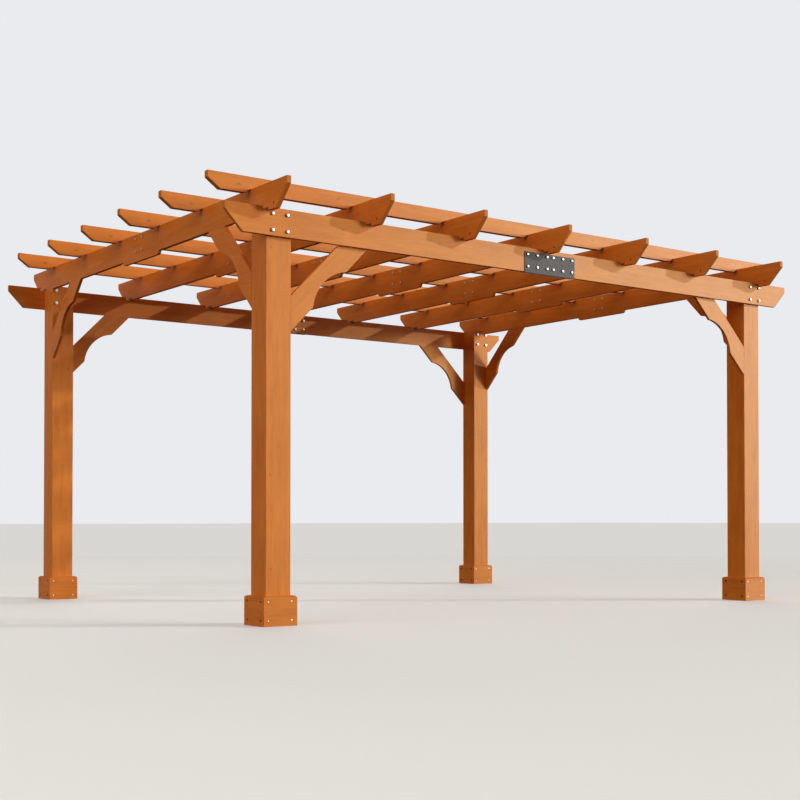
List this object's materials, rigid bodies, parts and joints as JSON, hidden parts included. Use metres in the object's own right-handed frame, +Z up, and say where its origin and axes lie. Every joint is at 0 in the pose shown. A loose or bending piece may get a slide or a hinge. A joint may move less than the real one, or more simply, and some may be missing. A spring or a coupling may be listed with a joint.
{
  "type": "open wooden pergola",
  "caption": "Free-standing open timber pergola: square posts with base collars and knee braces carry outer beams, cross rafters and top purlins with slant-cut tails.",
  "frame": {"origin": "on the floor, in the middle of the rectangle of the four posts", "axes": "+X along the beams and purlins to the right, +Y along the rafters from the front to the rear, +Z up"},
  "size_m": [4.244, 3.334, 2.268],
  "materials": {
    "post_timber": "stained fir, semi-transparent redwood stain, satin",
    "trim_timber": "stained fir boards, semi-transparent redwood stain, satin",
    "beam_timber": "stained fir boards, semi-transparent redwood stain, satin",
    "rafter_timber": "stained fir boards, semi-transparent redwood stain, satin",
    "purlin_timber": "stained fir battens, semi-transparent redwood stain, satin",
    "brace_timber": "stained fir boards, band-sawn curve, satin",
    "bracket_steel": "dark hammered powder coat"
  },
  "bodies": {
    "root": {"front_beam_bracket": "bracket_steel", "front_beam_left_half": "beam_timber", "front_beam_right_half": "beam_timber", "front_left_base_trim": "trim_timber", "front_left_beam_brace": "brace_timber", "front_left_post": "post_timber", "front_left_rafter_brace": "brace_timber", "front_right_base_trim": "trim_timber", "front_right_beam_brace": "brace_timber", "front_right_post": "post_timber", "front_right_rafter_brace": "brace_timber", "purlin_1": "purlin_timber", "purlin_2": "purlin_timber", "purlin_3": "purlin_timber", "purlin_4": "purlin_timber", "purlin_5": "purlin_timber", "purlin_6": "purlin_timber", "rafter_1_front_half": "rafter_timber", "rafter_1_rear_half": "rafter_timber", "rafter_1_splice_board": "rafter_timber", "rafter_2_front_half": "rafter_timber", "rafter_2_rear_half": "rafter_timber", "rafter_2_splice_board": "rafter_timber", "rafter_3_front_half": "rafter_timber", "rafter_3_rear_half": "rafter_timber", "rafter_3_splice_board": "rafter_timber", "rafter_4_front_half": "rafter_timber", "rafter_4_rear_half": "rafter_timber", "rafter_4_splice_board": "rafter_timber", "rafter_5_front_half": "rafter_timber", "rafter_5_rear_half": "rafter_timber", "rafter_5_splice_board": "rafter_timber", "rafter_6_front_half": "rafter_timber", "rafter_6_rear_half": "rafter_timber", "rafter_6_splice_board": "rafter_timber", "rafter_7_front_half": "rafter_timber", "rafter_7_rear_half": "rafter_timber", "rafter_7_splice_board": "rafter_timber", "rear_beam_bracket": "bracket_steel", "rear_beam_left_half": "beam_timber", "rear_beam_right_half": "beam_timber", "rear_left_base_trim": "trim_timber", "rear_left_beam_brace": "brace_timber", "rear_left_post": "post_timber", "rear_left_rafter_brace": "brace_timber", "rear_right_base_trim": "trim_timber", "rear_right_beam_brace": "brace_timber", "rear_right_post": "post_timber", "rear_right_rafter_brace": "brace_timber"}
  },
  "joints": []
}
